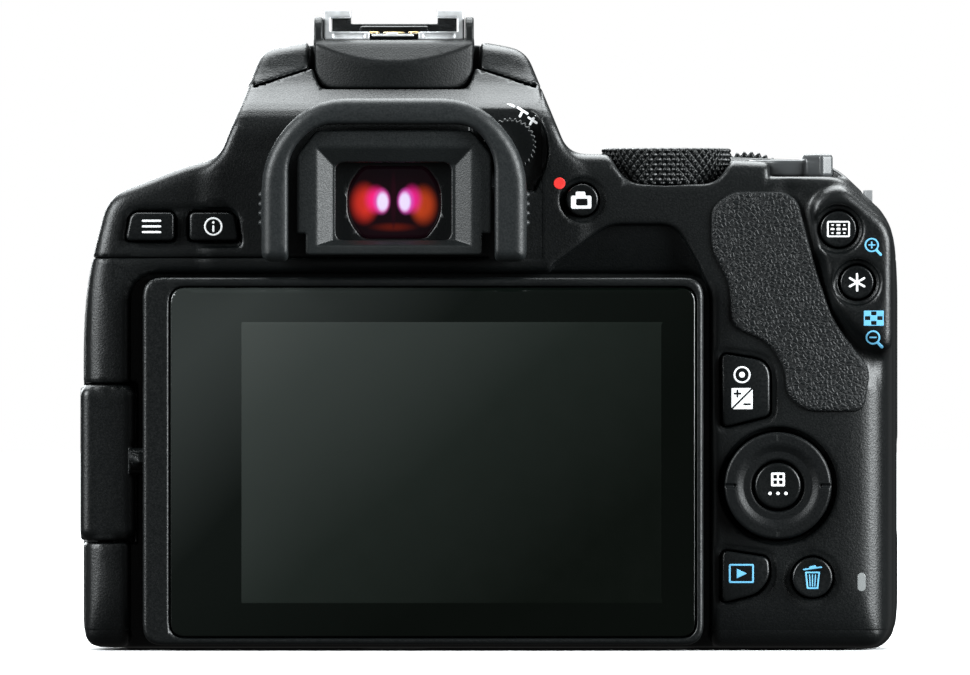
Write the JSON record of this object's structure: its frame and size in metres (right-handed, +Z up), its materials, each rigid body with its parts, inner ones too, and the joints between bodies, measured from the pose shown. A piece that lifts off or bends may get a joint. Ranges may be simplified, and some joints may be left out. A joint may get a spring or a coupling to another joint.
{
  "type": "digital reflex camera body",
  "caption": "Reflex camera body with a swing-out screen, pop-up flash, accessory shoe, eyecup, turning dials, sprung buttons, hinged doors and a flipping mirror behind an open lens mount.",
  "frame": {"origin": "middle of the bounding box's bottom face, so the camera stands on Z = 0", "axes": "+X to the right seen from behind, +Y along the lens axis to the front, +Z up"},
  "size_m": [0.1226, 0.07, 0.0964],
  "materials": {
    "shell": "fine texture",
    "rubber": "grained",
    "trim": "satin",
    "gloss": "gloss",
    "steel": "brushed",
    "mirror": "silvered",
    "glass": "coated",
    "inner": "matt",
    "board": "lacquer",
    "gold": "plated"
  },
  "bodies": {
    "camera_body": {"rear_cover": "shell", "front_cover": "shell", "top_cover": "shell", "base_plate": "shell", "grip_rubber": "rubber", "thumb_rubber": "rubber", "shoe_base": "shell", "hot_shoe": "steel", "eyepiece_frame": "inner", "eyepiece_lens": "glass", "pentamirror": "inner", "focusing_screen": "glass", "lens_mount": "steel", "lens_contacts": "gold", "mirror_box": "inner", "autofocus_unit": "inner", "shutter_frame": "inner", "image_sensor": "glass", "main_board": "board", "battery": "inner", "memory_card": "inner", "terminal_board": "trim", "strap_lug_left": "steel", "strap_lug_right": "steel", "tripod_socket": "steel"},
    "screen_arm": {"screen_hinge": "shell"},
    "screen": {"screen_case": "shell", "screen_glass": "glass"},
    "menu_button": {"menu_button": "trim"},
    "info_button": {"info_button": "trim"},
    "live_view_button": {"live_view_button": "trim"},
    "focus_point_button": {"focus_point_button": "trim"},
    "exposure_lock_button": {"exposure_lock_button": "trim"},
    "exposure_button": {"exposure_button": "trim"},
    "playback_button": {"playback_button": "trim"},
    "erase_button": {"erase_button": "trim"},
    "pad_rocker": {"pad_rocker": "inner"},
    "direction_pad": {"direction_pad": "trim"},
    "set_button": {"set_button": "gloss"},
    "dioptre_dial": {"dioptre_dial": "trim"},
    "mode_dial": {"mode_dial": "trim"},
    "main_dial": {"main_dial": "trim"},
    "power_lever": {"power_lever": "trim"},
    "iso_button": {"iso_button": "trim"},
    "display_button": {"display_button": "trim"},
    "shutter_button": {"shutter_button": "gloss"},
    "flash": {"flash_head": "shell", "flash_window": "glass"},
    "eyecup": {"eyecup_frame": "inner", "eyecup": "rubber"},
    "lens_lock_pin": {"lens_lock_pin": "steel"},
    "lens_release_button": {"lens_release_button": "trim"},
    "mirror": {"reflex_mirror": "mirror"},
    "sub_mirror": {"sub_mirror": "mirror"},
    "shutter_upper": {"shutter_blade_upper": "trim"},
    "shutter_lower": {"shutter_blade_lower": "trim"},
    "battery_door": {"battery_door": "shell"},
    "door_latch": {"door_latch": "trim"},
    "terminal_cover": {"terminal_cover": "rubber"},
    "cord_cover": {"cord_cover": "rubber"}
  },
  "joints": [
    {"name": "screen_swing", "type": "hinge", "parent": "camera_body", "child": "screen_arm", "pos_m": [-0.0576, -0.0224, 0.0281], "axis": [0, 0, -1], "range_deg": [0, 175]},
    {"name": "screen_tilt", "type": "hinge", "parent": "screen_arm", "child": "screen", "pos_m": [-0.052, -0.0255, 0.0284], "axis": [1, 0, 0], "range_deg": [0, 44]},
    {"name": "menu_press", "type": "slide", "parent": "camera_body", "child": "menu_button", "axis": [0, 1, 0], "range_m": [0, 0.0005], "stiffness_N_per_m": 500},
    {"name": "info_press", "type": "slide", "parent": "camera_body", "child": "info_button", "axis": [0, 1, 0], "range_m": [0, 0.0005], "stiffness_N_per_m": 500},
    {"name": "live_view_press", "type": "slide", "parent": "camera_body", "child": "live_view_button", "axis": [0, 1, 0], "range_m": [0, 0.0005], "stiffness_N_per_m": 500},
    {"name": "focus_point_press", "type": "slide", "parent": "camera_body", "child": "focus_point_button", "axis": [0, 1, 0], "range_m": [0, 0.0005], "stiffness_N_per_m": 500},
    {"name": "exposure_lock_press", "type": "slide", "parent": "camera_body", "child": "exposure_lock_button", "axis": [0, 1, 0], "range_m": [0, 0.0005], "stiffness_N_per_m": 500},
    {"name": "exposure_press", "type": "slide", "parent": "camera_body", "child": "exposure_button", "axis": [0, 1, 0], "range_m": [0, 0.0005], "stiffness_N_per_m": 500},
    {"name": "playback_press", "type": "slide", "parent": "camera_body", "child": "playback_button", "axis": [0, 1, 0], "range_m": [0, 0.0005], "stiffness_N_per_m": 500},
    {"name": "erase_press", "type": "slide", "parent": "camera_body", "child": "erase_button", "axis": [0, 1, 0], "range_m": [0, 0.0005], "stiffness_N_per_m": 500},
    {"name": "set_press", "type": "slide", "parent": "camera_body", "child": "set_button", "axis": [0, 1, 0], "range_m": [0, 0.0005], "stiffness_N_per_m": 500},
    {"name": "pad_up_down", "type": "hinge", "parent": "camera_body", "child": "pad_rocker", "pos_m": [0.0436, -0.0245, 0.0247], "axis": [1, 0, 0], "range_deg": [-3, 3], "stiffness_Nm_per_rad": 0.02},
    {"name": "pad_left_right", "type": "hinge", "parent": "pad_rocker", "child": "direction_pad", "pos_m": [0.0436, -0.0245, 0.0247], "axis": [0, 0, 1], "range_deg": [-3, 3], "stiffness_Nm_per_rad": 0.02},
    {"name": "dioptre_turn", "type": "hinge", "parent": "camera_body", "child": "dioptre_dial", "pos_m": [0.0033, -0.0255, 0.076], "axis": [0, 1, 0], "range_deg": [-150, 150]},
    {"name": "mode_dial_turn", "type": "hinge", "parent": "camera_body", "child": "mode_dial", "pos_m": [0.0269, -0.0145, 0.0728], "axis": [0, 0, 1], "continuous": true},
    {"name": "main_dial_turn", "type": "hinge", "parent": "camera_body", "child": "main_dial", "pos_m": [0.0394, 0.0075, 0.0672], "axis": [0, 1, 0], "continuous": true},
    {"name": "power_turn", "type": "hinge", "parent": "camera_body", "child": "power_lever", "pos_m": [0.0455, -0.01, 0.0727], "axis": [0, 0, 1], "range_deg": [0, 50]},
    {"name": "iso_press", "type": "slide", "parent": "camera_body", "child": "iso_button", "axis": [0, 0, -1], "range_m": [0, 0.0005], "stiffness_N_per_m": 500},
    {"name": "display_press", "type": "slide", "parent": "camera_body", "child": "display_button", "axis": [0, 0, -1], "range_m": [0, 0.0005], "stiffness_N_per_m": 500},
    {"name": "shutter_press", "type": "slide", "parent": "camera_body", "child": "shutter_button", "axis": [0, -0.4472, -0.8944], "range_m": [0, 0.0011], "stiffness_N_per_m": 400},
    {"name": "flash_lift", "type": "hinge", "parent": "camera_body", "child": "flash", "pos_m": [-0.0141, -0.0173, 0.0856], "axis": [1, 0, 0], "range_deg": [0, 70]},
    {"name": "eyecup_slide", "type": "slide", "parent": "camera_body", "child": "eyecup", "axis": [0, 0, 1], "range_m": [0, 0.02]},
    {"name": "lens_release_press", "type": "slide", "parent": "camera_body", "child": "lens_release_button", "axis": [0, -1, 0], "range_m": [0, 0.002], "stiffness_N_per_m": 400},
    {"name": "lock_pin_retract", "type": "slide", "parent": "camera_body", "child": "lens_lock_pin", "axis": [0, -1, 0], "range_m": [0, 0.0015]},
    {"name": "mirror_lift", "type": "hinge", "parent": "camera_body", "child": "mirror", "pos_m": [-0.0141, 0.0008, 0.0492], "axis": [1, 0, 0], "range_deg": [0, 45], "stiffness_Nm_per_rad": 0.004},
    {"name": "sub_mirror_fold", "type": "hinge", "parent": "mirror", "child": "sub_mirror", "pos_m": [-0.0141, 0.01021, 0.03739], "axis": [-1, 0, 0], "range_deg": [0, 90]},
    {"name": "shutter_open", "type": "slide", "parent": "camera_body", "child": "shutter_lower", "axis": [0, 0, -1], "range_m": [0, 0.0085]},
    {"name": "shutter_follow", "type": "slide", "parent": "camera_body", "child": "shutter_upper", "axis": [0, 0, -1], "range_m": [0, 0.017]},
    {"name": "battery_door_open", "type": "hinge", "parent": "camera_body", "child": "battery_door", "pos_m": [0.031, 0.004, 0], "axis": [0, 1, 0], "range_deg": [0, 95]},
    {"name": "door_latch_slide", "type": "slide", "parent": "battery_door", "child": "door_latch", "axis": [-1, 0, 0], "range_m": [0, 0.003], "stiffness_N_per_m": 200},
    {"name": "terminal_cover_open", "type": "hinge", "parent": "camera_body", "child": "terminal_cover", "pos_m": [-0.0605, 0.0105, 0.034], "axis": [0, 0, -1], "range_deg": [0, 90]},
    {"name": "cord_cover_open", "type": "hinge", "parent": "camera_body", "child": "cord_cover", "pos_m": [0.0613, -0.004, 0.0245], "axis": [0, 0, -1], "range_deg": [0, 90]}
  ],
  "couplings": [
    {"joint": "screen_tilt", "follows": "screen_swing", "ratio": 0.25},
    {"joint": "lock_pin_retract", "follows": "lens_release_press", "ratio": 0.75},
    {"joint": "sub_mirror_fold", "follows": "mirror_lift", "ratio": 2},
    {"joint": "shutter_follow", "follows": "shutter_open", "ratio": 2}
  ]
}
